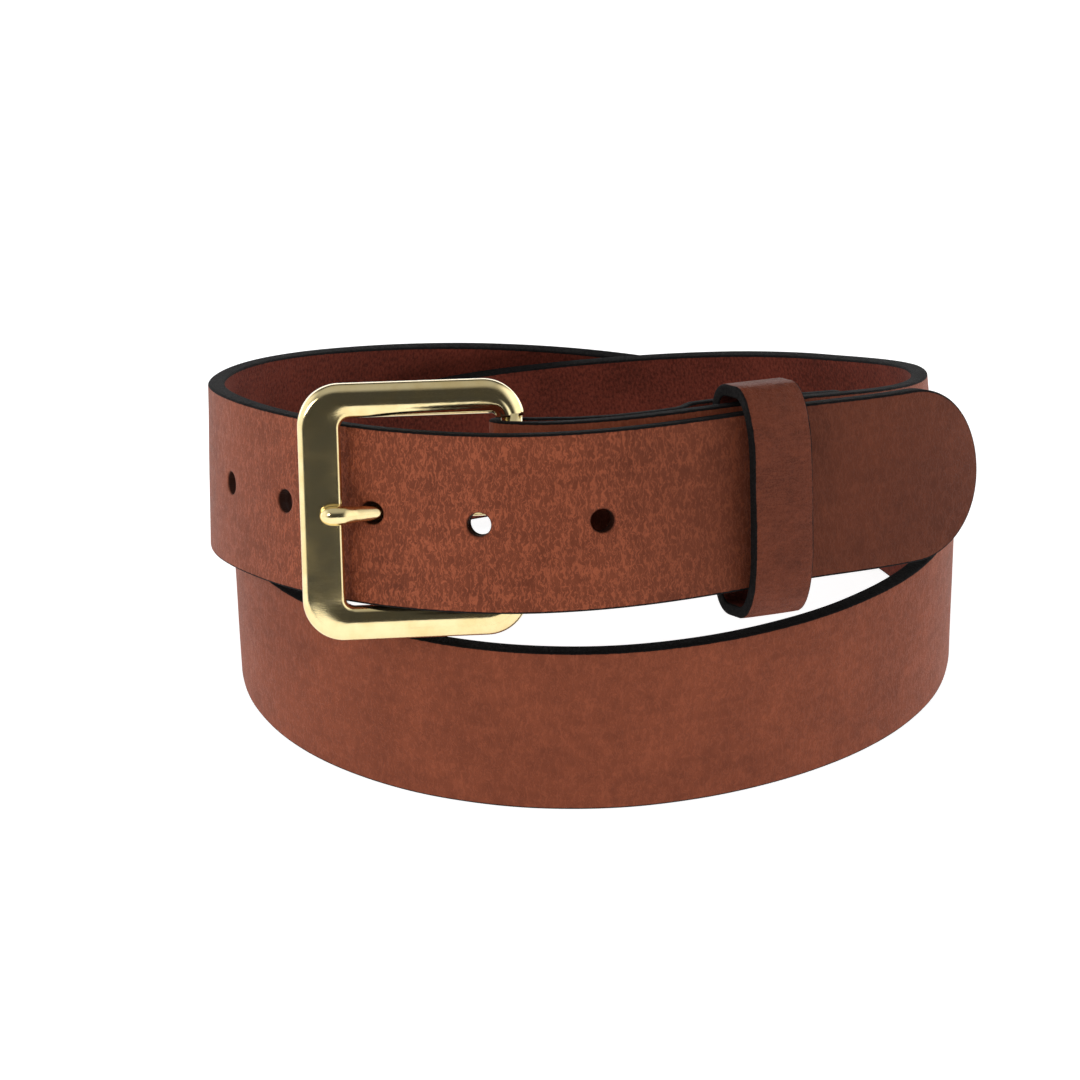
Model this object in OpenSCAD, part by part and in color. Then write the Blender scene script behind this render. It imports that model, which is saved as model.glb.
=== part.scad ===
// A man's single-layer leather belt, buckled and coiled into two turns that stand on their edge.
// Z is up, the buckle faces -Y, and the origin is on the floor under the middle of the coil.

/* [Strap] */
// Width of the strap
strap_w = 38; // [34:0.5:40]
// Thickness of the leather
strap_t = 3.8; // [3:0.1:4.2]
// Thickness of the turned-back end, which is thinned on its flesh side
turned_t = 2.6; // [2:0.1:3]
// Bevel along the edges of the strap
edge_bevel = 0.5; // [0.2:0.1:0.8]
// Angle round the coil, counted from the right, at which the tip ends on the third pass
tip_angle = 696; // [690:1:700]

/* [Adjustment holes] */
// Number of adjustment holes
hole_count = 5; // [3:1:7]
// Distance between the adjustment holes
hole_pitch = 25.4; // [20:0.2:26]
// Diameter of an adjustment hole
hole_d = 5; // [4.6:0.1:5.4]
// Distance from the end of the tip to the nearest hole
tip_to_hole = 95; // [90:1:98]

/* [Buckle] */
// Height of the frame across its two side bars
frame_h = 55; // [53:0.5:56]
// Clear height inside the frame
window_h = 40.5; // [40:0.5:41.5]
// Distance from the heel bar's axis to the middle of the front bar
frame_reach = 41; // [40.5:0.5:42]
// Width of the front bar
front_bar_w = 9; // [8:0.2:9.4]
// Thickness of the front bar
front_bar_t = 4.6; // [4:0.2:5]
// Diameter of the heel bar
heel_bar_d = 4.5; // [4:0.1:4.8]
// Diameter of the prong
prong_d = 3.4; // [3:0.1:3.6]

/* [Keeper] */
// Width of the keeper loop, along the strap
keeper_w = 14.5; // [12:0.5:16]
// Thickness of the keeper's leather
keeper_t = 2.6; // [2:0.1:2.8]
// Free height inside the keeper above and below the strap
keeper_play = 3.5; // [2.5:0.5:4]

/* [Screw posts] */
// Diameter of the heads
head_d = 8; // [7:0.5:9]
// Thickness of the heads
head_t = 1; // [0.8:0.1:1.2]
// Diameter of the barrel
barrel_d = 5; // [4:0.5:5.5]
// Diameter of the screw's shank
shank_d = 3; // [2.5:0.5:3]

/* [Hidden] */
$fn = 48;

// The coil: the middle of the leather every 45 degrees, as a radius about the coil's centre,
// the height of the lower edge, and (every 90 degrees) the outward lean of the upper edge.
coil_centre = [-7.15, 2.75];
coil_start = -100;
coil_step = 45;
coil_radius = [77.5, 79.5, 85.5, 83, 77.5, 73, 72, 74.5, 77.5, 81,
               90, 94, 87, 78.5, 77, 81, 88.5, 84.5, 108, 125];
coil_height = [51.1, 51.5, 37, 18, 6, 3, 1, 0, 0, 0,
               0, 0.5, 4.5, 14, 27.5, 43, 52.5, 51.5, 47.5, 60];
coil_lean = [-15, -8, 2, 2, 0, 0, -4, 1, -14, -9];
sweep_step = 5;
fold_angle = -97;

// Clearances
bar_gap = 0.15;
layer_gap = 0.2;

brown = [0.48, 0.22, 0.13];
brass = [0.83, 0.68, 0.32];
steel = [0.7, 0.7, 0.72];

fold_r = heel_bar_d / 2;
tip_r = strap_w / 2;

// ---- Curve of the strap ----
function knot(v, i) = i < 0 ? 2 * v[0] - v[1]
    : i > len(v) - 1 ? 2 * v[len(v) - 1] - v[len(v) - 2] : v[i];
function spline(v, u) =
    let (i = floor(u), f = u - i, a = knot(v, i - 1), b = knot(v, i), c = knot(v, i + 1),
         d = knot(v, i + 2))
    b + f / 2 * (c - a + f * (2 * a - 5 * b + 4 * c - d + f * (3 * (b - c) + d - a)));
function station(a) = (a - coil_start) / coil_step;
function unit(v) = v / norm(v);
function middle(a) =
    let (r = spline(coil_radius, station(a)))
    [coil_centre.x + r * cos(a), coil_centre.y + r * sin(a),
     spline(coil_height, station(a)) + strap_w / 2];
function along(a) = unit(middle(a + 1) - middle(a - 1));
function up(a) =
    let (t = along(a), n = unit([t.y, -t.x, 0]), lean = spline(coil_lean, station(a) / 2))
    cross(n, t) * cos(lean) + n * sin(lean);
function inward(a) = cross(up(a), along(a));
function place(a, y, z) = middle(a) + inward(a) * y + up(a) * z;

// Distance along the strap against angle, from the fold
arc_table = [for (a = fold_angle, s = 0; a <= tip_angle; s = s + norm(middle(a + 1) - middle(a)),
                  a = a + 1) [s, a]];
strap_length = arc_table[len(arc_table) - 1][0];
function angle_at(s) = lookup(s, arc_table);
angle_table = [for (p = arc_table) [p[1], p[0]]];

// Moves its children from the strap's own axes (x along it, y to the inside of the coil, z up)
module at(a, y = 0)
    multmatrix([for (i = [0:2]) [along(a)[i], inward(a)[i], up(a)[i], place(a, y, 0)[i]]])
        children();

// A closed skin over rings of points, in order
module skin(rings) {
    n = len(rings[0]);
    last = len(rings) - 1;
    polyhedron(
        points = [for (r = rings) each r],
        faces = concat(
            [[for (k = [0:n - 1]) k]],
            [for (i = [0:last - 1], k = [0:n - 1], t = [0, 1])
                let (p = i * n + k, q = i * n + (k + 1) % n)
                t == 0 ? [q, p, q + n] : [p, p + n, q + n]],
            [[for (k = [n - 1:-1:0]) last * n + k]]));
}

// The outline of a cut across the strap: grain side, flesh side, half height and edge bevel
function outline(grain, flesh, h, b = edge_bevel) =
    let (g = grain + b * sign(flesh - grain), f = flesh - b * sign(flesh - grain))
    [[g, -h], [f, -h], [flesh, -h + b], [flesh, h - b], [f, h], [g, h], [grain, h - b],
     [grain, -h + b]];
// No point of a ring goes under the floor, so the lower turn stands on a flat edge
function ring(a, grain, flesh, h, b = edge_bevel) = [
    for (p = outline(grain, flesh, h, b)) let (q = place(a, p.x, p.y)) [q.x, q.y, max(0, q.z)]];

// ---- Strap ----
// The free end is a half circle, so its last rings get lower towards the tip
tip_steps = 12;
tip_rings = [for (k = [1:tip_steps])
    let (t = 88 * k / tip_steps)
    ring(angle_at(strap_length - tip_r * (1 - sin(t))), -strap_t / 2, strap_t / 2,
         tip_r * cos(t), min(edge_bevel, tip_r * cos(t) / 2))];
body_end = angle_at(strap_length - tip_r);
// The leather is thinned on its flesh side near the fold
skive_length = 12;
function flesh(a) =
    let (u = min(1, lookup(a, angle_table) / skive_length))
    -strap_t / 2 + turned_t + (strap_t - turned_t) * u;
body_angles = concat([for (d = [0:2:8]) fold_angle + d],
    [for (a = [fold_angle + 12:sweep_step:body_end - 2]) a], [body_end]);

body_rings = [for (a = body_angles) ring(a, -strap_t / 2, flesh(a), strap_w / 2)];

// The turned-back layer lies inside the first one and parts from it for the bar and the keeper
bar_y = -strap_t / 2 + turned_t + fold_r;
row_1 = 33;
row_2 = 73;
keeper_at = 54;
turned_length = 80;
keeper_travel = [-2.5, 1.5];
keeper_space = keeper_t + 1.4;
space_start = keeper_at - keeper_w / 2 + keeper_travel[0] - 1;
space_end = keeper_at + keeper_w / 2 + keeper_travel[1] + 1.5;
turned_gap = [[0, 2 * fold_r], [8, 3.6], [16, 1.6], [26, 0.3], [row_1, layer_gap],
    [row_1 + 5, layer_gap + 0.1], [space_start, keeper_space], [space_end, keeper_space],
    [row_2 - 4.5, layer_gap + 0.1], [row_2, layer_gap], [turned_length, layer_gap]];
turned_steps = concat([0, 1.5, 3, 6, 9, 12, 16, 20, 26, 30, row_1, row_1 + 5],
    [for (k = [0:6]) space_start + (space_end - space_start) * k / 6],
    [row_2 - 4.5, row_2, row_2 + 3, turned_length]);
turned_rings = [for (k = [len(turned_steps) - 1:-1:0])
    let (s = turned_steps[k], a = angle_at(s), y = flesh(a) + lookup(s, turned_gap))
    ring(a, y + turned_t, y, strap_w / 2 - (s > turned_length - 1 ? 1 : 0))];

// The fold goes half round the heel bar, and the bar's own hole is cut afterwards
fold_step = 15;
fold_rings = [for (t = [fold_step:fold_step:180 - fold_step])
    [for (p = outline(fold_r + turned_t, fold_r, strap_w / 2))
        place(fold_angle, bar_y + p.x * cos(t), p.y) - along(fold_angle) * p.x * sin(t)]];
module bar_hole() in_bar()
    cylinder(d = heel_bar_d + 2 * bar_gap, h = strap_w + 2, center = true);

hole_depth = 12;
module hole_at(a, d, y = 0)
    at(a, y) rotate([90, 0, 0]) cylinder(d = d, h = hole_depth, center = true);
// The slot that lets the prong through the fold
slot_h = 9;
slot_end = 7;
module prong_slot() in_bar() {
    translate([-10, -hole_depth, -slot_h / 2]) cube([10 + slot_end, 2 * hole_depth, slot_h]);
    translate([slot_end, 0, 0]) rotate([90, 0, 0])
        cylinder(d = slot_h, h = 2 * hole_depth, center = true);
}

// The prong slants through its hole and drags the leather open along itself
tunnel_d = 5.2;
tunnel_back = 3;
module prong_tunnel() in_buckle()
    rotate([0, 0, pivot_play]) translate([-prong_bend, 0, 0]) rotate([0, 0, prong_slope])
        translate([tunnel_back, 0, 0]) rod(prong_rise / sin(prong_slope) + tunnel_back, tunnel_d);

module strap() color(brown) difference() {
    skin(concat(turned_rings, fold_rings, body_rings, tip_rings));
    bar_hole();
    for (k = [0:hole_count - 1])
        hole_at(angle_at(strap_length - tip_to_hole - k * hole_pitch), hole_d);
    for (n = [1:4]) in_post(n) translate([0, 0, -2]) cylinder(d = barrel_d + 0.1, h = stack + 4);
    prong_slot();
    prong_tunnel();
}

// ---- Buckle: x runs from the heel bar to the right, y to the inside of the coil, z up ----
// The bar sits a little high and askew in the fold, so the frame's front end droops
frame_turn = 13.7;
frame_roll = -2.5;
frame_lift = 0.4;
pivot_play = 1;
side_bar_h = (frame_h - window_h) / 2;
side_bar_t = 4.2;
heel_end = 2.8;
front_corner_r = 9;
frame_left = -frame_reach - front_bar_w / 2;
module in_bar()
    at(fold_angle, bar_y) translate([0, 0, frame_lift]) rotate([0, frame_roll, 0]) children();
module in_buckle() in_bar() rotate([0, 0, frame_turn]) children();

// A rectangle from x0 to x1 with round corners, h high about y = 0
module round_rect(x0, x1, h, r) {
    translate([x0 + r, -h / 2]) square([x1 - x0 - 2 * r, h]);
    translate([x0, -h / 2 + r]) square([x1 - x0, h - 2 * r]);
    for (x = [x0 + r, x1 - r], y = [-h / 2 + r, h / 2 - r]) translate([x, y]) circle(r = r);
}

module side_bar(side)
    translate([frame_left, -side_bar_t / 2, side * (frame_h - side_bar_h) / 2 - side_bar_h / 2])
        cube([heel_end - frame_left, side_bar_t, side_bar_h]);

module front_bar() translate([frame_left, -front_bar_t / 2, -frame_h / 2])
    cube([front_bar_w, front_bar_t, frame_h]);

module buckle_frame() color(brass) in_buckle() {
    intersection() {
        rotate([90, 0, 0]) linear_extrude(2 * front_bar_t, center = true)
            round_rect(frame_left, heel_end, frame_h, front_corner_r);
        union() {
            side_bar(-1);
            side_bar(1);
            front_bar();
        }
    }
    cylinder(d = heel_bar_d, h = window_h + 1, center = true);
}

// ---- Prong: rolled round the heel bar, with its tip on the front bar ----
prong_bore = heel_bar_d + 0.1;
prong_roll_d = 8.4;
prong_roll_h = 6;
prong_lift = 0.1;
// The pin runs straight to its bend, slopes out through the leather, and ends level on the bar
prong_bend = 24;
prong_crest = frame_reach - front_bar_w / 2 - 0.3;
prong_rise = front_bar_t / 2 + prong_d / 2 + prong_lift;
prong_slope = atan(prong_rise / (prong_crest - prong_bend));
prong_length = frame_reach - 1.2;
knuckle_d = prong_d + 0.1;
module rod(length, d = prong_d) rotate([0, -90, 0]) cylinder(d = d, h = length);
module pin() {
    rod(prong_bend);
    translate([-prong_bend, 0, 0]) {
        sphere(d = knuckle_d);
        rotate([0, 0, prong_slope]) rod(prong_rise / sin(prong_slope));
    }
    translate([-prong_crest, -prong_rise, 0]) {
        sphere(d = knuckle_d);
        rod(prong_length - prong_crest);
    }
    translate([-prong_length, -prong_rise, 0]) sphere(d = prong_d);
}
module buckle_prong() color(brass) in_buckle() difference() {
    union() {
        cylinder(d = prong_roll_d, h = prong_roll_h, center = true);
        pin();
    }
    cylinder(d = prong_bore, h = prong_roll_h + 2, center = true);
}

// ---- Keeper: a closed loop round the tip and the first layer ----
keeper_angle = angle_at(keeper_at);
// Free depth behind the strap and in front of the tip, where the loop bows out
keeper_back = 0.8;
keeper_front = 2.4;
tip_gap = 1.2;
keeper_in = [strap_w + 2 * keeper_play, 2 * strap_t + tip_gap + keeper_back + keeper_front];
keeper_y = -(strap_t + tip_gap + keeper_front - keeper_back) / 2;
keeper_turn = -1.5;
keeper_drop = 1.8;
module in_keeper() at(keeper_angle, keeper_y) translate([0, 0, -keeper_drop])
    rotate([0, 0, keeper_turn]) children();

// The loop's outline: long round corners at the front (-y) and short ones at the back
corner_step = 11.25;
front_corner = [9, 4.5];
back_corner = [3, 3];
function corner(size, r, sx, sy, from) = [for (t = [0:corner_step:90])
    [sx * (size.x / 2 - r.x) + r.x * cos(from + t), sy * (size.y / 2 - r.y) + r.y * sin(from + t)]];
module loop_outline(size, grow) polygon(concat(
    corner(size, back_corner + [grow, grow], 1, 1, 0), corner(size, back_corner + [grow, grow], -1, 1, 90),
    corner(size, front_corner + [grow, grow], -1, -1, 180),
    corner(size, front_corner + [grow, grow], 1, -1, 270)));
module keeper_loop() color(brown) in_keeper() difference() {
    rotate([0, 90, 0]) linear_extrude(keeper_w, center = true) difference() {
        loop_outline(keeper_in + 2 * [keeper_t, keeper_t], keeper_t);
        loop_outline(keeper_in, 0);
    }
    staple_shape(-1);
    staple_shape(1);
}

// ---- Screw posts through both layers of the turned-back end ----
row_spread = 9;
function row_s(n) = n < 3 ? row_1 : row_2;
function row_z(n) = n % 2 == 1 ? -row_spread : row_spread;
stack = strap_t + layer_gap + turned_t;
seat_gap = 0.1;
barrel_short = 0.3;
screw_gap = 0.3;
row_face = stack + screw_gap;
drive_slot = 1.2;
module in_post(n) at(angle_at(row_s(n)), -strap_t / 2) translate([0, 0, row_z(n)]) rotate([-90, 0, 0])
    children();
module screw_post(n) color(brass) in_post(n) {
    difference() {
        union() {
            translate([0, 0, -head_t - seat_gap]) cylinder(d = head_d, h = head_t);
            translate([0, 0, -head_t]) cylinder(d = barrel_d, h = stack + head_t - barrel_short);
        }
        cylinder(d = shank_d, h = stack);
    }
}
module screw(n) color(brass) in_post(n) difference() {
    union() {
        translate([0, 0, row_face]) cylinder(d = head_d, h = head_t);
        translate([0, 0, 1]) cylinder(d = shank_d - 0.04, h = row_face);
    }
    translate([-head_d, -drive_slot / 2, row_face + head_t / 2]) cube([2 * head_d, drive_slot, head_t]);
}
module screw_post_1() screw_post(1);
module screw_post_2() screw_post(2);
module screw_post_3() screw_post(3);
module screw_post_4() screw_post(4);
module screw_1() screw(1);
module screw_2() screw(2);
module screw_3() screw(3);
module screw_4() screw(4);

// ---- Staples that close the keeper's joint, let into the leather ----
wire = 0.6;
staple_span = 5;
staple_place = 3.5;
staple_depth = keeper_t + 0.1;
module staple_shape(side)
    translate([side * staple_place, (keeper_in.y + keeper_t) / 2, 0])
        rotate([0, 90, 0]) linear_extrude(wire, center = true) difference() {
            square([staple_span, staple_depth], center = true);
            square([staple_span - 2 * wire, staple_depth - 2 * wire], center = true);
        }
module keeper_staple_1() color(steel) in_keeper() staple_shape(-1);
module keeper_staple_2() color(steel) in_keeper() staple_shape(1);

strap();
buckle_frame();
buckle_prong();
keeper_loop();
keeper_staple_1();
keeper_staple_2();
screw_post_1();
screw_post_2();
screw_post_3();
screw_post_4();
screw_1();
screw_2();
screw_3();
screw_4();
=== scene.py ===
import math

import bpy
import numpy as np
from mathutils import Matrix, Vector, noise


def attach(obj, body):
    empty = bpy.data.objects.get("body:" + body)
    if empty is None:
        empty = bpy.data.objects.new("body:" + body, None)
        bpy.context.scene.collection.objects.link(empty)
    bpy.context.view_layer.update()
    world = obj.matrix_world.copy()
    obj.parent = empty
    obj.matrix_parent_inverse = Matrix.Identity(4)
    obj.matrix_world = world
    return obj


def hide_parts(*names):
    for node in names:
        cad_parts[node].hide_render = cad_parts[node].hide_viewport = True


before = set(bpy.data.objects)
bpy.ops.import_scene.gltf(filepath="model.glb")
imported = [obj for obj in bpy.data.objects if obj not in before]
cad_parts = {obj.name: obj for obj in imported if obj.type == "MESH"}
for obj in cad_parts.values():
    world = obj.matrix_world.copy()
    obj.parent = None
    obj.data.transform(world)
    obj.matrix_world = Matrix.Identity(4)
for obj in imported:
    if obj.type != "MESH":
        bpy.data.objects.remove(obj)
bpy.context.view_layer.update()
MM = 0.001

# ---- Camera: level, looking along +Y and down at the coil ----
CAMERA_PITCH = math.radians(24)
CAMERA_TARGET = Vector((-10.61, 67.69, 0)) * MM
CAMERA_DISTANCE = 1.0025
camera = bpy.data.objects.new("camera", bpy.data.cameras.new("camera"))
bpy.context.scene.collection.objects.link(camera)
camera.data.lens = 132.7
camera.data.sensor_width = 36
camera.data.clip_start = 0.05
camera.rotation_euler = (math.pi / 2 - CAMERA_PITCH, 0, 0)
camera.location = CAMERA_TARGET + CAMERA_DISTANCE * Vector(
    (0, -math.cos(CAMERA_PITCH), math.sin(CAMERA_PITCH))
)
bpy.context.scene.camera = camera

# ---- Sizes, in millimetres, as in the CAD source ----
STRAP_W, STRAP_T, TURNED_T = 38, 3.8, 2.6
TIP_ANGLE, FOLD_ANGLE = 696, -97
COIL_CENTRE = np.array([-7.15, 2.75])
COIL_START, COIL_STEP = -100, 45
COIL_RADIUS = [77.5, 79.5, 85.5, 83, 77.5, 73, 72, 74.5, 77.5, 81,
               90, 94, 87, 78.5, 77, 81, 88.5, 84.5, 108, 125]
COIL_HEIGHT = [51.1, 51.5, 37, 18, 6, 3, 1, 0, 0, 0,
               0, 0.5, 4.5, 14, 27.5, 43, 52.5, 51.5, 47.5, 60]
COIL_LEAN = [-15, -8, 2, 2, 0, 0, -4, 1, -14, -9]
HEEL_R = 2.25
SKIVE = 12
BAR_Y = -STRAP_T / 2 + TURNED_T + HEEL_R
FOLD_FLAT = math.pi * (HEEL_R + TURNED_T / 2)
TURNED_LENGTH = 80
SKEW_END = 28
TURNED_GAP = [(0, 2 * HEEL_R), (8, 3.6), (16, 1.6), (26, 0.3), (33, 0.2), (38, 0.3),
              (43.25, 4), (64.25, 4), (68.5, 0.3), (73, 0.2), (80, 0.2)]
HOLE_R, HOLE_PITCH, TIP_TO_HOLE, HOLES, PRONG_HOLE = 2.5, 25.4, 95, 5, 2
PRONG_HOLE_HALF = (2.9, 2.4)
SLOT_R, SLOT_END = 4.5, 7
FRAME_TURN, FRAME_ROLL, FRAME_LIFT = 13.7, -2.5, 0.4
FRAME_H, WINDOW_H, FRAME_REACH = 55, 40.5, 41
FRONT_W, FRONT_T, SIDE_T = 9, 4.6, 4.2
HEEL_END, CORNER_R = 2.8, 9
WINDOW_CORNER_R, HEEL_CORNER_R, HEEL_GAP = 2.2, 1.0, 0.6
SHOULDER_Z = 19.6
PRONG_R, PRONG_ROLL_R, PRONG_ROLL_H, PRONG_LENGTH = 1.7, 4.2, 6, 39.8
PRONG_BEND, PRONG_CREST = 24, FRAME_REACH - FRONT_W / 2 - 0.3
PRONG_RISE = FRONT_T / 2 + PRONG_R + 0.1
PRONG_SLOPE = math.atan(PRONG_RISE / (PRONG_CREST - PRONG_BEND))
PRONG_BLEND = 0.35
KEEPER_W, KEEPER_T, KEEPER_AT, KEEPER_TURN, KEEPER_DROP = 14.5, 2.6, 54, -1.5, 1.8
TIP_GAP, KEEPER_BACK, KEEPER_FRONT = 1.2, 0.8, 2.4
KEEPER_IN = (STRAP_W + 7, 2 * STRAP_T + TIP_GAP + KEEPER_BACK + KEEPER_FRONT)
KEEPER_Y = -(STRAP_T + TIP_GAP + KEEPER_FRONT - KEEPER_BACK) / 2
FRONT_CORNER, BACK_CORNER = (12, 4.8), (3, 3)
KEEPER_BOW, KEEPER_EDGE = 0.5, 0.45


# ---- The strap's curve, the same as in the CAD source ----
def spline(values, u):
    """Catmull-Rom through the values, with straight ends."""
    v = np.array(values, float)
    end = 2 * v[-1] - v[-2]
    v = np.concatenate([[2 * v[0] - v[1]], v, [end, end]])
    i = np.floor(u).astype(int)
    f = u - i
    a, b, c, d = v[i], v[i + 1], v[i + 2], v[i + 3]
    return b + f / 2 * (c - a + f * (2 * a - 5 * b + 4 * c - d + f * (3 * (b - c) + d - a)))


def middle(angle):
    u = (angle - COIL_START) / COIL_STEP
    r = spline(COIL_RADIUS, u)
    t = np.radians(angle)
    return np.stack([COIL_CENTRE[0] + r * np.cos(t), COIL_CENTRE[1] + r * np.sin(t),
                     spline(COIL_HEIGHT, u) + STRAP_W / 2], -1)


def unit(v):
    return v / np.linalg.norm(v, axis=-1, keepdims=True)


def axes(angle):
    """Along the strap, to the inside of the coil, and up across it."""
    along = unit(middle(angle + 1) - middle(angle - 1))
    out = unit(np.stack([along[..., 1], -along[..., 0], 0 * along[..., 0]], -1))
    lean = np.radians(spline(COIL_LEAN, (angle - COIL_START) / COIL_STEP / 2))[..., None]
    up = np.cross(out, along) * np.cos(lean) + out * np.sin(lean)
    return along, np.cross(up, along), up


ARC_ANGLE = np.arange(FOLD_ANGLE, TIP_ANGLE + 1, 1.0)
ARC_STEPS = np.linalg.norm(np.diff(middle(ARC_ANGLE), axis=0), axis=1)
ARC_S = np.concatenate([[0], np.cumsum(ARC_STEPS)])
STRAP_LENGTH = ARC_S[-1]


def angle_at(s):
    return np.interp(s, ARC_S, ARC_ANGLE)


def place(angle, y, z):
    angle, y, z = np.broadcast_arrays(np.asarray(angle, float), y, z)
    _, inward, up = axes(angle)
    return middle(angle) + inward * y[..., None] + up * z[..., None]


def eased(s, table):
    """Between the table's points, with flat starts and ends to each step."""
    xs, ys = zip(*table)
    i = np.clip(np.searchsorted(xs, s, side="right") - 1, 0, len(xs) - 2)
    xs, ys = np.array(xs, float), np.array(ys, float)
    f = np.clip((s - xs[i]) / (xs[i + 1] - xs[i]), 0, 1)
    return ys[i] + (ys[i + 1] - ys[i]) * f * f * (3 - 2 * f)


def thickness(u):
    return TURNED_T + (STRAP_T - TURNED_T) * np.clip(u / SKIVE, 0, 1)


def bend(flat):
    """Points of the flat strap to the coil. A flat point is (u along, v across, depth from the
    grain side); u is 0 where the strap leaves the fold, and under 0 on the turned-back end."""
    u, v, d = flat.T
    along = axes(np.array(float(FOLD_ANGLE)))[0]
    s = np.where(u >= 0, u, np.maximum(-u - FOLD_FLAT, 0))
    y = np.where(u >= 0, -STRAP_T / 2 + d,
                 -STRAP_T / 2 + thickness(s) + eased(s, TURNED_GAP) + TURNED_T - d)
    skew = v * math.sin(math.radians(FRAME_ROLL)) * np.clip(1 - s / SKEW_END, 0, 1) ** 2
    points = place(angle_at(np.maximum(s + skew, 0)), y, v)
    points += along * np.minimum(s + skew, 0)[:, None]
    fold = (u < 0) & (u > -FOLD_FLAT)
    t = np.pi * (1 + u[fold] / FOLD_FLAT)
    r = HEEL_R + TURNED_T - d[fold]
    points[fold] = place(FOLD_ANGLE, BAR_Y + r * np.cos(t), v[fold])
    points[fold] += along * (skew[fold] - r * np.sin(t))[:, None]
    points[:, 2] = np.maximum(points[:, 2], 0)
    return points


def local(origin_angle, y, turn, rise=0.0, roll=0.0):
    """Matrix rows (x along, y inward, z up) and origin of a small part's own axes."""
    a = np.array(float(origin_angle))
    along, inward, up = axes(a)
    c, s = math.cos(math.radians(roll)), math.sin(math.radians(roll))
    x, z = along * c - up * s, along * s + up * c
    c, s = math.cos(math.radians(turn)), math.sin(math.radians(turn))
    return np.array([x * c + inward * s, inward * c - x * s, z]), place(a, y, rise)


def in_axes(points, where):
    rows, origin = where
    return np.asarray(points) @ rows + origin


BUCKLE = local(FOLD_ANGLE, BAR_Y, FRAME_TURN, FRAME_LIFT, FRAME_ROLL)
KEEPER = local(angle_at(KEEPER_AT), KEEPER_Y, KEEPER_TURN, -KEEPER_DROP)


# ---- Mesh helpers ----
class Mesh:
    """Collects points (mm) with attributes, and faces."""

    def __init__(self):
        self.points, self.faces, self.extra = [], [], {}

    def add(self, points, **extra):
        start = len(self.points)
        self.points += [tuple(p) for p in points]
        for name, values in extra.items():
            column = self.extra.setdefault(name, {})
            for k, value in enumerate(np.broadcast_to(values, len(points))):
                column[start + k] = float(value)
        return np.arange(start, start + len(points))

    def band(self, a, b, closed=True):
        """Quads between two rows of the same length."""
        n = len(a)
        for k in range(n if closed else n - 1):
            m = (k + 1) % n
            self.faces.append((a[k], a[m], b[m], b[k]))

    def cap(self, row):
        self.faces.append(tuple(row))

    def column(self, name):
        values = np.zeros(len(self.points))
        for k, value in self.extra.get(name, {}).items():
            values[k] = value
        return values

    def make(self, name, where=None, attributes=(), body=None, nodes=()):
        points = np.array(self.points, float)
        if where is not None:
            points = in_axes(points, where)
        data = bpy.data.meshes.new(name)
        data.from_pydata((points * MM).tolist(), [], [tuple(map(int, f)) for f in self.faces])
        for key in attributes:
            layer = data.attributes.new(key, "FLOAT", "POINT")
            layer.data.foreach_set("value", self.column(key).astype(np.float32))
        data.shade_smooth()
        data.update()
        obj = bpy.data.objects.new(name, data)
        bpy.context.scene.collection.objects.link(obj)
        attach(obj, body)
        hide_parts(*nodes)
        return obj


# ---- Strap: a flat grid with holes, rounded along its edge, then bent into the coil ----
EDGE_R = 0.55
FACE_HALF = STRAP_W / 2 - EDGE_R
PATCH = 8
COLUMNS = 37
LIP = 0.35
DISH = 0.12
RIM_REACH = 6
HOLE_S = [STRAP_LENGTH - TIP_TO_HOLE - k * HOLE_PITCH for k in range(HOLES)]


def circle(theta):
    return HOLE_R + 0 * theta


def ellipse(theta, a, b):
    return a * b / np.hypot(b * np.cos(theta), a * np.sin(theta))


def stadium(theta, a, r):
    c, s = np.abs(np.cos(theta)), np.abs(np.sin(theta))
    flat = r / np.maximum(s, 1e-9)
    return np.where(flat * c <= a, flat, a * c + np.sqrt(np.maximum(r * r - (a * s) ** 2, 0)))


def prong_crossing():
    """Where the prong's slope meets the grain and flesh sides of the tip, as (u, v) each."""
    run = np.linspace(-1, PRONG_RISE / math.sin(PRONG_SLOPE), 200)
    p = in_axes(np.column_stack([-PRONG_BEND - run * math.cos(PRONG_SLOPE),
                                 -run * math.sin(PRONG_SLOPE), 0 * run]), BUCKLE)
    s = np.linspace(HOLE_S[PRONG_HOLE] - 16, HOLE_S[PRONG_HOLE] + 16, 321)
    a = angle_at(s)
    m, (along, inward, up) = middle(a), axes(a)
    k = np.argmin(np.abs(np.einsum("lsk,sk->ls", p[:, None] - m[None], along)), 1)
    y = np.einsum("lk,lk->l", p - m[k], inward[k])
    v = np.einsum("lk,lk->l", p - m[k], up[k])
    order = np.argsort(y)
    return [(np.interp(d, y[order], s[k][order]), np.interp(d, y[order], v[order]))
            for d in (-STRAP_T / 2, STRAP_T / 2)]


def patches():
    """(centre u, half length of the patch, outline on the grain side and on the flesh side);
    an outline is (u, v, radius as a function of direction)."""
    found = [(-FOLD_FLAT / 2, FOLD_FLAT / 2 + SLOT_END + SLOT_R + 3,
              *[(-FOLD_FLAT / 2, 0, lambda t: stadium(t, FOLD_FLAT / 2 + SLOT_END, SLOT_R))] * 2)]
    for k, s in enumerate(HOLE_S):
        if k == PRONG_HOLE:
            ends = [(u, v, lambda t: ellipse(t, *PRONG_HOLE_HALF)) for u, v in prong_crossing()]
            found.append((s, PATCH, *ends))
        else:
            found.append((s, PATCH, *[(s, 0, circle)] * 2))
    return sorted(found, key=lambda f: f[0])


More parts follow.
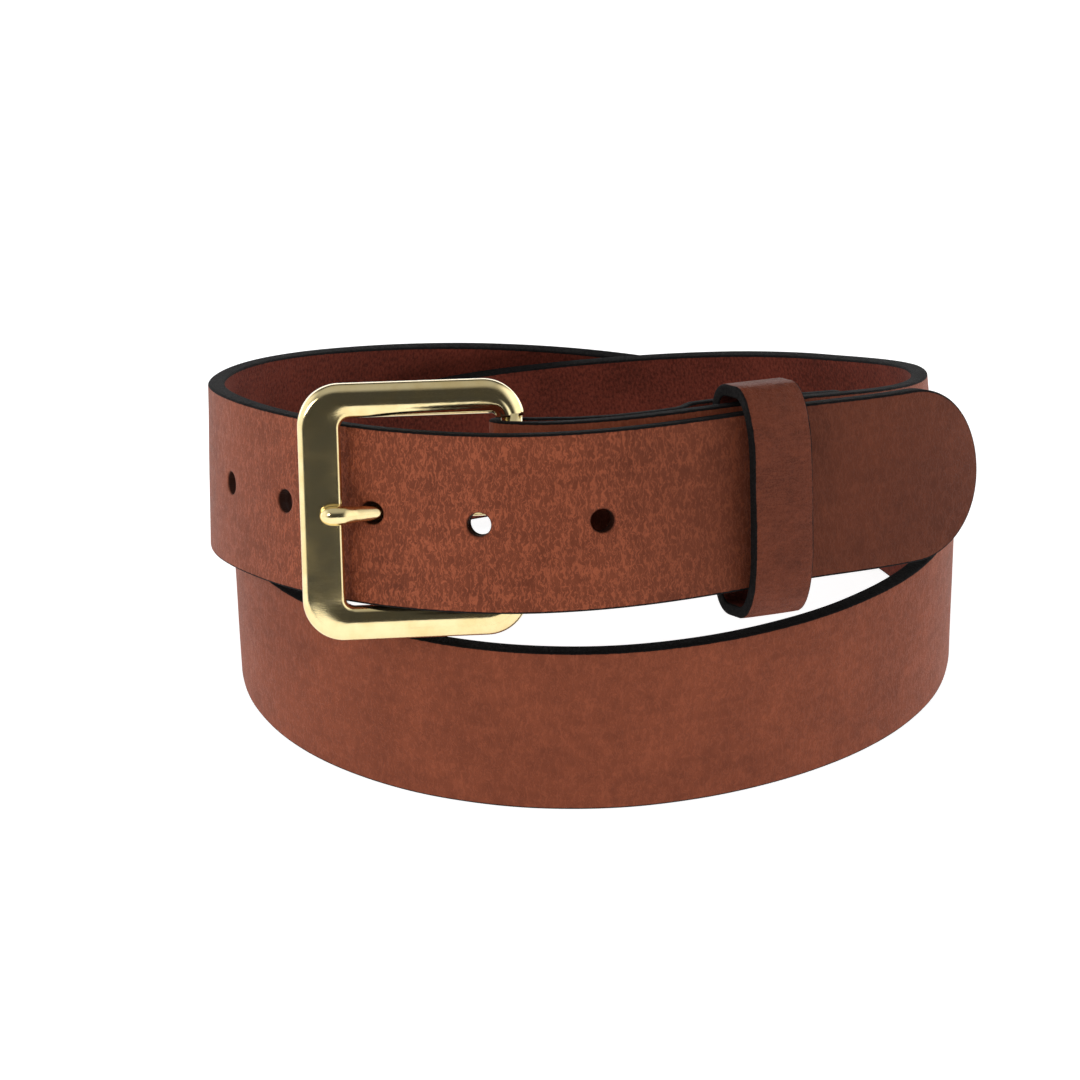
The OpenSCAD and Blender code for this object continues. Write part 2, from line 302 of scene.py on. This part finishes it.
def strap_lines(found):
    """Grid lines along the strap; each patch's two ends are lines."""
    tip_start = STRAP_LENGTH - STRAP_W / 2
    marks = [-FOLD_FLAT - TURNED_LENGTH + EDGE_R]
    for centre, half, *_ in found:
        marks += [centre - half, centre + half]
    marks.append(tip_start)
    lines, ends = [], []
    for i, (a, b) in enumerate(zip(marks, marks[1:])):
        n = max(1, round((b - a) / (1.0 if i % 2 else 1.6)))
        ends.append(len(lines))
        lines += list(np.linspace(a, b, n, endpoint=False))
    ends.append(len(lines))
    return lines + [tip_start], ends


def closing_in(k):
    """How far ring k of a patch, from 0 to 4, has come from the square to the hole."""
    return 1 - (1 - k / 4) ** 1.4


def wave(points, size, seed):
    """Smooth noise from about -1 to 1 at points (mm), with bumps about `size` across."""
    shift = Vector((seed * 17.3, seed * 5.1, seed * 9.7))
    return np.array([noise.noise(Vector(p) / size + shift) for p in points])


def build_strap():
    found = patches()
    lines, ends = strap_lines(found)
    across = np.linspace(-FACE_HALF, FACE_HALF, COLUMNS)
    tip_rows = 18
    flat = [np.stack([np.full(len(across), u), across], -1) for u in lines]
    b = across / FACE_HALF
    for k in range(1, tip_rows + 1):
        a = k / tip_rows
        flat.append(np.stack([lines[-1] + FACE_HALF * a * np.sqrt(1 - b * b / 2),
                              across * math.sqrt(1 - a * a / 2)], -1))
    flat = np.array(flat)
    rows, cols = flat.shape[:2]
    uv = flat.reshape(-1, 2)
    mesh = Mesh()
    edge_away = -np.minimum(FACE_HALF - np.abs(flat[..., 1]), RIM_REACH)
    tip = flat[len(lines):]
    from_tip = FACE_HALF - np.hypot(tip[..., 0] - lines[-1], tip[..., 1])
    edge_away[len(lines):] = np.maximum(edge_away[len(lines):], -np.minimum(from_tip, RIM_REACH))
    both = []
    for side in (0, 1):
        depth = side * thickness(uv[:, 0])
        ids = mesh.add(np.column_stack([uv, depth]), rim=edge_away.ravel(), flesh=side)
        both.append(ids.reshape(rows, cols))
    # Faces of both sides, leaving out the patches
    skipped = np.zeros((rows - 1, cols - 1), bool)
    middle_col = (cols - 1) // 2
    spans = []
    for k in range(len(found)):
        i0, i1 = ends[2 * k + 1], ends[2 * k + 2]
        j0, j1 = middle_col - PATCH, middle_col + PATCH
        skipped[i0:i1, j0:j1] = True
        spans.append((i0, i1, j0, j1))
    for side, grid in enumerate(both):
        for i in range(rows - 1):
            for j in range(cols - 1):
                if not skipped[i, j]:
                    quad = (grid[i, j], grid[i + 1, j], grid[i + 1, j + 1], grid[i, j + 1])
                    mesh.faces.append(quad if side == 0 else quad[::-1])
    # Rounded edge all the way round
    loop = ([(i, 0) for i in range(rows)] + [(rows - 1, j) for j in range(1, cols)]
            + [(i, cols - 1) for i in range(rows - 2, -1, -1)]
            + [(0, j) for j in range(cols - 2, 0, -1)])
    outward = []
    for i, j in loop:
        if i >= len(lines) - 1:
            n = np.array([flat[i, j, 0] - lines[-1], flat[i, j, 1]])
            n /= np.linalg.norm(n)
        else:
            n = np.array([-1.0 if i == 0 else 0, (j == cols - 1) - 1.0 * (j == 0)])
        outward.append(n)
    outward = np.array(outward)
    base = np.array([flat[i, j] for i, j in loop])
    thick = thickness(base[:, 0])
    last = np.array([both[0][i, j] for i, j in loop])
    for step in [(1, 0), (2, 0), (3, 0), (4, 0), (4, 1), (3, 1), (2, 1), (1, 1)]:
        phi = math.pi / 8 * step[0]
        out, down = EDGE_R * math.sin(phi), EDGE_R * (1 - math.cos(phi))
        depth = thick - down if step[1] else np.full(len(base), down)
        row = mesh.add(np.column_stack([base + outward * out, depth]),
                       rim=EDGE_R * phi, flesh=step[1])
        mesh.band(row, last)
        last = row
    mesh.band(np.array([both[1][i, j] for i, j in loop]), last)
    # Patches: rings from the square to the hole, down through it, and out again
    for (i0, i1, j0, j1), (centre, _, grain, flesh) in zip(spans, found):
        ring = ([(i, j0) for i in range(i0, i1)] + [(i1, j) for j in range(j0, j1)]
                + [(i, j1) for i in range(i1, i0, -1)] + [(i0, j) for j in range(j1, j0, -1)])
        square = np.array([flat[i, j] for i, j in ring])
        theta = np.arctan2(square[:, 1], square[:, 0] - centre)

        def outline(which, grow):
            u, v, radius = which
            r = radius(theta) + grow
            return np.column_stack([u + r * np.cos(theta), v + r * np.sin(theta)])

        last = np.array([both[0][i, j] for i, j in ring])
        for k in range(1, 5):
            f = closing_in(k)
            at = square + (outline(grain, LIP) - square) * f
            row = mesh.add(np.column_stack([at, np.full(len(at), DISH * f ** 3)]), raw=0,
                           rim=-RIM_REACH, flesh=0)
            mesh.band(last, row)
            last = row
        for side, t in [(0, 0.5), (0, 1), (0, 2), (0, 3), (1, 2), (1, 1), (1, 0.5), (1, 0)]:
            which = flesh if side else grain
            grow = LIP * (1 - math.sin(min(t, 1) * math.pi / 2))
            at = outline(which, grow)
            deep = LIP * (1 - math.cos(min(t, 1) * math.pi / 2)) + DISH
            if t > 1:
                f = 0.25 * (t - 1) if side == 0 else 1 - 0.25 * (t - 1)
                at = outline(grain, 0) * (1 - f) + outline(flesh, 0) * f
                depth = thickness(at[:, 0]) * f
            else:
                depth = thickness(at[:, 0]) - deep if side else np.full(len(at), deep)
            row = mesh.add(np.column_stack([at, depth]), raw=0.5 if t <= 0.5 else 1, rim=-RIM_REACH,
                           flesh=side)
            mesh.band(last, row)
            last = row
        for k in range(3, 0, -1):
            f = closing_in(k)
            at = square + (outline(flesh, LIP) - square) * f
            row = mesh.add(np.column_stack([at, thickness(at[:, 0])]), raw=0,
                           rim=-RIM_REACH, flesh=1)
            mesh.band(last, row)
            last = row
        mesh.band(last, np.array([both[1][i, j] for i, j in ring]))
    flat_points = np.array(mesh.points, float)
    # Real leather isn't quite even: a slow waviness, left out where the buckle end is stacked
    stacked = np.clip(-np.abs(flat_points[:, 0] - 20) / 30 + 2, 0, 1)
    on_sheet = np.column_stack([flat_points[:, :2], 0 * stacked])
    lift = wave(on_sheet, 14, 1) * 0.10 * (1 - stacked)
    bent = flat_points.copy()
    bent[:, 2] += lift
    mesh.extra["u"] = dict(enumerate(flat_points[:, 0]))
    mesh.extra["v"] = dict(enumerate(flat_points[:, 1]))
    mesh.points = [tuple(p) for p in bend(bent)]
    return mesh.make("strap_leather", attributes=("u", "v", "rim", "flesh", "raw"), body="belt",
                     nodes=["strap"])


# ---- Keeper: a strip bent round into a loop, its two ends meeting behind the strap ----
def loop_path(gap=0.3, step=1.6):
    """Points and outward normals (y, z) round the keeper's inside, from the middle of its back."""
    d, h = KEEPER_IN[1] / 2, KEEPER_IN[0] / 2
    rough = [((d, gap / 2), (1, 0))]
    for start, (rz, ry), sy, sz in [(90, BACK_CORNER, 1, 1), (0, FRONT_CORNER, -1, 1),
                                    (-90, FRONT_CORNER, -1, -1), (-180, BACK_CORNER, 1, -1)]:
        for t in np.radians(np.linspace(start, start - 90, 13)):
            y, z = math.sin(t), math.cos(t)
            normal = np.array([y / ry, z / rz])
            rough.append(((sy * (d - ry) + ry * y, sz * (h - rz) + rz * z),
                          normal / np.linalg.norm(normal)))
    rough.append(((d, -gap / 2), (1, 0)))
    points, normals = [], []
    for (p, n), (q, m) in zip(rough, rough[1:]):
        p, n, q, m = map(np.array, (p, n, q, m))
        for f in np.linspace(0, 1, max(1, round(np.linalg.norm(q - p) / step)), endpoint=False):
            points.append(p + (q - p) * f)
            normals.append(n + (m - n) * f)
    points, normals = np.array(points + [rough[-1][0]]), np.array(normals + [rough[-1][1]])
    front = np.clip(-points[:, 0] / d, 0, 1)
    points[:, 0] -= KEEPER_BOW * front * np.cos(points[:, 1] / h * math.pi / 2)
    return points, normals


def build_keeper():
    path, normal = loop_path()
    run = np.concatenate([[0], np.cumsum(np.linalg.norm(np.diff(path, axis=0), axis=1))])
    mesh = Mesh()
    edge, half = KEEPER_EDGE, KEEPER_W / 2
    profile = [(x, KEEPER_T, 0.0, 0) for x in np.linspace(-half + edge, half - edge, 15)]
    for f in (22.5, 45, 67.5, 90):
        c, s = math.cos(math.radians(f)), math.sin(math.radians(f))
        profile.append((half - edge + edge * s, KEEPER_T - edge + edge * c, edge * f / 57.3, 0))
    for f in (90, 67.5, 45, 22.5):
        c, s = math.cos(math.radians(f)), math.sin(math.radians(f))
        profile.append((half - edge + edge * s, edge - edge * c, edge * f / 57.3, 1))
    profile += [(x, 0, 0.0, 1) for x in np.linspace(half - edge, -half + edge, 15)]
    profile += [(-x, d, rim, side) for x, d, rim, side in profile[15:23]][::-1]
    x, d, rim, side = np.array(profile).T
    rim = np.where(rim > 0, rim, -np.minimum(half - edge - np.abs(x), RIM_REACH))
    rows = []
    for p, n, at in zip(path, normal, run):
        crown = 0.25 * (x / half) ** 2 * max(0, -n[0]) * (d > KEEPER_T / 2)
        yz = p[None] + n[None] * (d - crown)[:, None]
        row = mesh.add(np.column_stack([x, yz]), rim=rim, flesh=side, u=at, v=x)
        if rows:
            mesh.band(rows[-1], row)
        rows.append(row)
    mesh.cap(rows[0])
    mesh.cap(rows[-1][::-1])
    points = np.array(mesh.points)
    shift = wave(points, 8, 3) * 0.22 + wave(points, 3.5, 4) * 0.06
    outer = (mesh.column("flesh") < 0.5) & (mesh.column("rim") < 0.3) & (points[:, 1] < 0)
    points[:, 1] += np.where(outer, shift, 0)
    mesh.points = [tuple(p) for p in points]
    return mesh.make("keeper_leather", where=KEEPER, attributes=("u", "v", "rim", "flesh", "raw"),
                     body="keeper", nodes=["keeper_loop"])


# ---- Buckle frame: a rounded section carried all round the window, down to the strap's edges ----
def arc(count, start=0, end=90):
    """(cos, sin) pairs from start to end degrees."""
    return [(math.cos(t), math.sin(t)) for t in np.radians(np.linspace(start, end, count))]


def frame_section(width, thick, outer, inner, crown):
    """(distance from the outer edge, y); the front is -y. outer and inner are the (across, deep)
    sizes of the roundings beside the face."""
    h = thick / 2
    back = min(0.8, width / 4)
    face = width - outer[0] - inner[0]
    section = [(outer[0] * (1 - c), -h + outer[1] * (1 - s)) for c, s in arc(13)]
    section += [(outer[0] + face * f, -h - crown * math.sin(math.pi * f))
                for f in np.linspace(0, 1, 11)[1:-1]]
    section += [(width - inner[0] * (1 - c), -h + inner[1] * (1 - s)) for c, s in arc(9, 90, 0)]
    section += [(width - back * (1 - c), h - back * (1 - s)) for c, s in arc(5)]
    section += [(back * (1 - c), h - back * (1 - s)) for c, s in arc(5, 90, 0)]
    return section


def frame_stations():
    """(outer x, z, inner x, z, share of the front bar) from the upper shoulder to the middle of
    the front bar; the lower half mirrors them."""
    left = -FRAME_REACH - FRONT_W / 2
    window_left, window_right = left + FRONT_W, -HEEL_END - HEEL_GAP
    top, window_top = FRAME_H / 2, WINDOW_H / 2
    inner_r, heel_r = WINDOW_CORNER_R, HEEL_CORNER_R
    stations = []
    first = math.degrees(math.asin((SHOULDER_Z - (top - CORNER_R)) / CORNER_R))
    for k, (c, s) in enumerate(arc(18, first, 90)):
        f = min(1, k / 9) * math.pi / 2
        stations.append((HEEL_END - CORNER_R * (1 - c), top - CORNER_R * (1 - s),
                         window_right - heel_r * (1 - math.cos(f)) - max(0, k - 9) * 0.5,
                         window_top - heel_r * (1 - math.sin(f)), 0))
    x0, xi = stations[-1][0], stations[-1][2]
    for f in np.linspace(0, 1, 20)[1:-1]:
        stations.append((x0 + (left + CORNER_R - x0) * f, top,
                         xi + (window_left + inner_r - xi) * f, window_top, 0.0))
    for k, (c, s) in enumerate(arc(20)):
        stations.append((left + CORNER_R * (1 - s), top - CORNER_R * (1 - c),
                         window_left + inner_r * (1 - s), window_top - inner_r * (1 - c), k / 19))
    for f in np.linspace(1, 0, 10)[1:]:
        stations.append((left, (top - CORNER_R) * f, window_left, (window_top - inner_r) * f, 1.0))
    return stations + [(a, -b, c, -d, e) for a, b, c, d, e in stations[-2::-1]]


def build_frame():
    mesh = Mesh()
    rows = []
    for ox, oz, ix, iz, front in frame_stations():
        outer, inner = np.array([ox, oz]), np.array([ix, iz])
        width = np.linalg.norm(inner - outer)
        side = 1 - front
        section = frame_section(width, SIDE_T + (FRONT_T - SIDE_T) * front,
                                (1.5 + 1.3 * side, 1.7 + 0.4 * side),
                                (1.0 + 0.5 * side, 1.0 + 0.4 * side), 0.25)
        points = [outer + (inner - outer) * w / width for w, _ in section]
        row = mesh.add([(p[0], y, p[1]) for p, (_, y) in zip(points, section)])
        if rows:
            mesh.band(rows[-1], row)
        rows.append(row)
    mesh.cap(rows[0][::-1])
    mesh.cap(rows[-1])
    lathe(mesh, [(-SHOULDER_Z - 0.5, HEEL_R), (SHOULDER_Z + 0.5, HEEL_R)], 32)
    return mesh.make("buckle_frame_brass", where=BUCKLE, body="frame",
                     nodes=["buckle_frame"])


def lathe(mesh, outline, count, axis=2):
    """Turns (height, radius) points about an axis, closed at both ends."""
    rows = []
    for h, r in outline:
        t = np.linspace(0, 2 * np.pi, count, endpoint=False)
        ring = np.column_stack([r * np.cos(t), r * np.sin(t), np.full(count, h)])
        if axis == 0:
            ring = ring[:, [2, 0, 1]]
        row = mesh.add(ring)
        if rows:
            mesh.band(row, rows[-1])
        rows.append(row)
    mesh.cap(rows[0])
    mesh.cap(rows[-1][::-1])


# ---- Prong: a tapered pin with a fuller tip, bent over the front bar ----
def prong_axis(x):
    """How far the pin's axis stands out (-y) at x along it, with its two bends rounded."""
    def corner(at):
        return np.logaddexp(0, (x - at) / PRONG_BLEND) * PRONG_BLEND
    return -math.tan(PRONG_SLOPE) * (corner(PRONG_BEND) - corner(PRONG_CREST))


def build_prong():
    mesh = Mesh()
    length = PRONG_LENGTH + PRONG_R
    body = [(2.6, 1.5), (6, 1.75), (14, PRONG_R), (30, 1.6), (33.5, 1.66), (36, 1.95),
            (38, 2.15), (39.4, 2.05), (40.4, 1.65), (41, 1.15),
            (length - 0.12, 0.6), (length, 0.1)]
    xs, rs = np.array(body).T
    straight_end = PRONG_BEND - 2
    fine = np.concatenate([np.linspace(xs[0], straight_end, 14, endpoint=False),
                           np.linspace(straight_end, xs[-1], 60)])
    lathe(mesh, list(zip(-fine[::-1], np.interp(fine, xs, rs)[::-1])), 28, axis=0)
    points = np.array(mesh.points)
    points[:, 1] = np.minimum(points[:, 1], PRONG_R) + prong_axis(-points[:, 0])
    mesh.points = [tuple(p) for p in points]
    # The roll round the heel bar, with its bore
    t = np.linspace(0, 2 * np.pi, 40, endpoint=False)
    h, r0, r1, e = PRONG_ROLL_H / 2, HEEL_R + 0.05, PRONG_ROLL_R, 0.5
    ring = [(r0, -h + 0.2), (r0 + 0.2, -h), (r1 - e, -h), (r1 - 0.15, -h + 0.15), (r1, -h + e),
            (r1, h - e), (r1 - 0.15, h - 0.15), (r1 - e, h), (r0 + 0.2, h), (r0, h - 0.2)]
    rows = [mesh.add(np.column_stack([r * np.cos(t), r * np.sin(t), np.full(len(t), z)]))
            for r, z in ring]
    for a, b in zip(rows, rows[1:] + rows[:1]):
        mesh.band(a, b)
    return mesh.make("buckle_prong_brass", where=BUCKLE, body="prong",
                     nodes=["buckle_prong"])


# ---- Materials ----
class Nodes:
    """Short calls for the nodes of one tree."""

    def __init__(self, tree):
        self.tree = tree

    def new(self, kind, inputs=None, **settings):
        node = self.tree.nodes.new("ShaderNode" + kind)
        for key, value in settings.items():
            setattr(node, key, value)
        for key, value in (inputs or {}).items():
            self.set(node.inputs[key], value)
        return node

    def set(self, socket, value):
        if isinstance(value, bpy.types.NodeSocket):
            self.tree.links.new(value, socket)
        else:
            socket.default_value = value

    def attribute(self, name):
        return self.new("Attribute", attribute_name=name).outputs["Fac"]

    def math(self, operation, a, b=0.0, c=0.0):
        node = self.new("Math", operation=operation)
        for socket, value in zip(node.inputs, (a, b, c)):
            self.set(socket, value)
        return node.outputs[0]

    def noise(self, vector, scale, detail=3.0, roughness=0.55, distortion=0.0):
        return self.new("TexNoise", {"Vector": vector, "Scale": scale, "Detail": detail,
                                     "Roughness": roughness, "Distortion": distortion}).outputs[0]

    def ramp(self, value, low, high, to_low=0.0, to_high=1.0, smooth=True):
        node = self.new("MapRange", {"Value": value, "From Min": low, "From Max": high,
                                     "To Min": to_low, "To Max": to_high},
                        interpolation_type="SMOOTHSTEP" if smooth else "LINEAR")
        return node.outputs[0]

    def mix(self, share, a, b):
        node = self.new("Mix", data_type="RGBA")
        self.set(node.inputs["Factor"], share)
        self.set(node.inputs[6], a)
        self.set(node.inputs[7], b)
        return node.outputs[2]

    def vector(self, x, y, z=0.0):
        return self.new("CombineXYZ", {"X": x, "Y": y, "Z": z}).outputs[0]


class Surface(Nodes):
    """A material's nodes, with its shader."""

    def __init__(self, name):
        self.material = bpy.data.materials.new(name)
        self.material.use_nodes = True
        super().__init__(self.material.node_tree)
        self.shader = self.tree.nodes["Principled BSDF"]

    def shade(self, **inputs):
        for key, value in inputs.items():
            name = "Specular IOR Level" if key == "specular" else key.replace("_", " ").title()
            self.set(self.shader.inputs[name], value)


def leather(name, grain, flesh_side, streak, worn, fade, wrinkle=0.0):
    """Full-grain leather on the mesh's own u and v (mm), with a painted edge and a raw inside.
    grain and flesh_side are (dark, light) colours; streak stretches the fibres across the strap;
    worn and fade are ((from, to), share): u values between which the grain is opened up, and
    between which it darkens; wrinkle is the share of creases that run across the loop."""
    n = Surface(name)
    u, v, rim = n.attribute("u"), n.attribute("v"), n.attribute("rim")
    flesh, raw = n.attribute("flesh"), n.attribute("raw")
    flat = n.vector(u, v, n.math("MULTIPLY", flesh, 40.0))
    cloud = n.noise(flat, 0.05, 3.0, 0.6)
    patchy = n.noise(flat, 0.3, 3.0, 0.6)
    warp = n.noise(flat, 0.6, 3.0)
    across = n.vector(n.math("ADD", u, n.math("MULTIPLY", warp, 2.0)),
                      n.math("MULTIPLY", v, streak))
    fine = n.noise(n.vector(u, n.math("MULTIPLY", v, 0.6)), 3.4, 3.0, 0.6)
    # Fibres: thin light lines where the stretched noise crosses its middle, at two sizes
    ridge = 0.0
    for scale in (0.8, 1.25):
        fibre = n.math("MULTIPLY_ADD", n.noise(across, scale, 2.0, 0.5), 26.0, -13.0)
        line = n.ramp(n.math("ABSOLUTE", fibre), 1.0, 0.1)
        ridge = n.math("MAXIMUM", ridge, line)
    (worn_from, worn_to), worn_share = worn
    open_grain = n.math("MULTIPLY", n.ramp(u, worn_from - 40, worn_from + 30),
                        n.ramp(u, worn_to + 30, worn_to - 30))
    contrast = n.math("MULTIPLY_ADD", open_grain, worn_share, 0.24)
    height = n.math("ADD", n.math("MULTIPLY", ridge, 0.6), n.math("MULTIPLY", fine, 0.4))
    if wrinkle:
        crease = n.noise(n.vector(u, n.math("MULTIPLY", v, 0.22), 9.0), 0.75, 3.0, 0.6, 0.6)
        crease = n.math("ABSOLUTE", n.math("MULTIPLY_ADD", crease, 7.0, -3.5))
        height = n.math("MULTIPLY_ADD", n.ramp(crease, 0.0, 0.7), wrinkle, height)
    light = n.math("MULTIPLY_ADD", n.math("SUBTRACT", height, 0.31), contrast, 0.39)
    light = n.math("ADD", light, n.ramp(cloud, 0.25, 0.75, -0.07, 0.09))
    light = n.math("ADD", light, n.ramp(patchy, 0.25, 0.75, -0.08, 0.08))
    colour = n.mix(n.ramp(light, 0.0, 1.0, smooth=False), (*grain[0], 1), (*grain[1], 1))
    pores = n.new("TexVoronoi", {"Vector": flat, "Scale": 1.15, "Randomness": 1.0}).outputs[0]
    pore = n.math("MULTIPLY", n.ramp(pores, 0.17, 0.05), n.ramp(patchy, 0.42, 0.6))
    colour = n.mix(n.math("MULTIPLY", pore, 0.3), colour, (0.03, 0.008, 0.004, 1))
    (fade_from, fade_to), fade_share = fade
    colour = n.mix(n.math("MULTIPLY", n.ramp(u, fade_from, fade_to), fade_share), colour,
                   (0.02, 0.004, 0.0015, 1))
    # Flesh side: short fibres, darker
    fuzz = n.noise(n.vector(u, n.math("MULTIPLY", v, 0.6)), 1.6, 5.0, 0.72)
    inside = n.math("ADD", n.math("MULTIPLY", fuzz, 0.8), n.math("MULTIPLY", cloud, 0.3))
    colour = n.mix(flesh, colour, n.mix(n.ramp(inside, 0.35, 0.8), (*flesh_side[0], 1),
                                        (*flesh_side[1], 1)))
    colour = n.mix(raw, colour, (0.030, 0.009, 0.005, 1))
    # Painted edge, with an uneven line where it meets the face
    drip = n.noise(flat, 0.8, 4.0, 0.6)
    paint = n.ramp(n.math("ADD", rim, n.math("MULTIPLY", drip, 0.35)), 0.20, 0.34)
    grit = n.noise(n.vector(u, n.math("ADD", rim, v), flesh), 2.4, 5.0, 0.7)
    colour = n.mix(paint, colour, n.mix(n.ramp(grit, 0.35, 0.75), (0.0015, 0.0012, 0.0012, 1),
                                        (0.012, 0.010, 0.010, 1)))
    rough = n.ramp(height, 0.1, 0.9, 0.62, 0.50)
    rough = n.math("ADD", rough, n.math("MULTIPLY", n.math("MAXIMUM", flesh, paint), 0.3))
    relief = n.math("SUBTRACT", height, n.math("MULTIPLY", pore, 0.5))
    relief = n.math("MULTIPLY", relief, n.math("SUBTRACT", 1.0, paint))
    relief = n.math("ADD", relief, n.math("MULTIPLY", n.math("MULTIPLY", grit, paint), 1.8))
    relief = n.math("ADD", relief, n.math("MULTIPLY", n.math("MULTIPLY", fuzz, flesh), 0.8))
    bump = n.new("Bump", {"Strength": 0.6, "Distance": 0.00016, "Height": relief})
    n.shade(base_color=colour, roughness=rough, normal=bump.outputs[0], specular=0.12)
    return n.material


def brass(name, tint, rough, brushed):
    """Polished cast brass with fine rubbing marks and slight unevenness."""
    n = Surface(name)
    place_at = n.new("TexCoord").outputs["Object"]
    fine = n.noise(n.new("Mapping", {"Vector": place_at, "Scale": (900, 900, 5200)}).outputs[0],
                   1.0, 3.0, 0.6)
    blot = n.noise(place_at, 160, 3.0, 0.6)
    worn = n.noise(place_at, 900, 2.0, 0.5)
    colour = n.mix(n.ramp(blot, 0.3, 0.75), (*tint, 1),
                   (tint[0] * 0.9, tint[1] * 0.84, tint[2] * 0.72, 1))
    roughness = n.math("ADD", n.ramp(blot, 0.3, 0.8, rough, rough + 0.07),
                       n.math("MULTIPLY", fine, brushed))
    bump = n.new("Bump", {"Strength": 0.18, "Distance": 0.00004,
                          "Height": n.math("ADD", fine, n.math("MULTIPLY", worn, 0.4))})
    n.shade(base_color=colour, metallic=1.0, roughness=roughness, normal=bump.outputs[0])
    return n.material


def steel(name):
    n = Surface(name)
    place_at = n.new("TexCoord").outputs["Object"]
    marks = n.noise(place_at, 2500, 3.0, 0.6)
    n.shade(base_color=n.mix(marks, (0.42, 0.42, 0.43, 1), (0.62, 0.62, 0.63, 1)), metallic=1.0,
            roughness=n.ramp(marks, 0.2, 0.8, 0.25, 0.45),
            normal=n.new("Bump", {"Strength": 0.2, "Distance": 0.00003,
                                  "Height": marks}).outputs[0])
    return n.material


FLESH_SIDE = ((0.050, 0.009, 0.005), (0.20, 0.040, 0.023))
strap_leather = leather("strap_leather", ((0.085, 0.019, 0.0085), (0.38, 0.097, 0.043)),
                        FLESH_SIDE, 0.24, ((975, 1082), 0.66), ((1020, 1115), 0.5))
keeper_leather = leather("keeper_leather", ((0.040, 0.009, 0.004), (0.22, 0.053, 0.024)),
                         FLESH_SIDE, 1.0, ((0, 200), 0.1), ((200, 300), 0.0), 0.35)
buckle_brass = brass("buckle_brass", (0.88, 0.74, 0.41), 0.09, 0.08)
screw_brass = brass("screw_brass", (0.82, 0.62, 0.30), 0.2, 0.1)
staple_steel = steel("staple_steel")


def dress(obj, material):
    obj.data.materials.clear()
    obj.data.materials.append(material)


dress(build_strap(), strap_leather)
dress(build_keeper(), keeper_leather)
dress(build_frame(), buckle_brass)
dress(build_prong(), buckle_brass)

# Small turned parts keep their CAD shape, with their sharp edges eased
for name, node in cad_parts.items():
    if name.startswith(("screw", "keeper_staple")):
        dress(node, staple_steel if "staple" in name else screw_brass)
        ease = node.modifiers.new("ease", "BEVEL")
        ease.width = (0.08 if "staple" in name else 0.22) * MM
        ease.segments = 3
        ease.angle_limit = math.radians(50)

# ---- Floor and light ----
FLOOR = 4.0
floor_mesh = bpy.data.meshes.new("floor")
floor_mesh.from_pydata([(-FLOOR, -FLOOR, 0), (FLOOR, -FLOOR, 0),
                        (FLOOR, FLOOR, 0), (-FLOOR, FLOOR, 0)], [], [(0, 1, 2, 3)])
floor = bpy.data.objects.new("floor", floor_mesh)
bpy.context.scene.collection.objects.link(floor)
floor.location.z = -0.00005
paper = Surface("paper")
paper.shade(base_color=(0.6, 0.6, 0.6, 1), roughness=0.9, specular=0.1,
            emission_color=(1, 1, 1, 1), emission_strength=0.84)
dress(floor, paper.material)


def softbox(name, location, target, size, power):
    lamp = bpy.data.lights.new(name, "AREA")
    lamp.shape = "RECTANGLE"
    lamp.size, lamp.size_y = size
    lamp.energy = power
    obj = bpy.data.objects.new(name, lamp)
    bpy.context.scene.collection.objects.link(obj)
    obj.location = location
    obj.rotation_euler = (Vector(target) - Vector(location)).to_track_quat("-Z", "Y").to_euler()


CENTRE = (0, 0, 0.05)
softbox("softbox_key", (-0.50, -0.75, 0.62), CENTRE, (0.3, 0.3), 2.2)

# A light tent: bright at the sides and low down behind, dim above, dark where the camera stands
world = bpy.data.worlds.new("studio")
bpy.context.scene.world = world
world.use_nodes = True
tent = Nodes(world.node_tree)
direction = tent.new("TexCoord").outputs["Generated"]
part = tent.new("SeparateXYZ", {"Vector": direction}).outputs
DARK_FRONT = 0.055
behind = tent.math("MULTIPLY", tent.ramp(part["Y"], 0.15, 0.60, 0.0, 2.2),
                   tent.ramp(part["Z"], 0.12, 0.34, 1.0, 0.0))
left = tent.ramp(part["X"], -0.42, -0.80, 0.0, 1.15)
right = tent.ramp(part["X"], 0.42, 0.80, 0.0, 1.4)
above = tent.ramp(part["Z"], 0.60, 0.95, DARK_FRONT, DARK_FRONT + 0.45)
sides = tent.math("ADD", left, right)
background = tent.tree.nodes["Background"]
background.inputs["Color"].default_value = (1, 1, 1, 1)
tent.set(background.inputs["Strength"], tent.math("ADD", tent.math("ADD", behind, sides), above))
bpy.context.scene.view_settings.view_transform = "Standard"
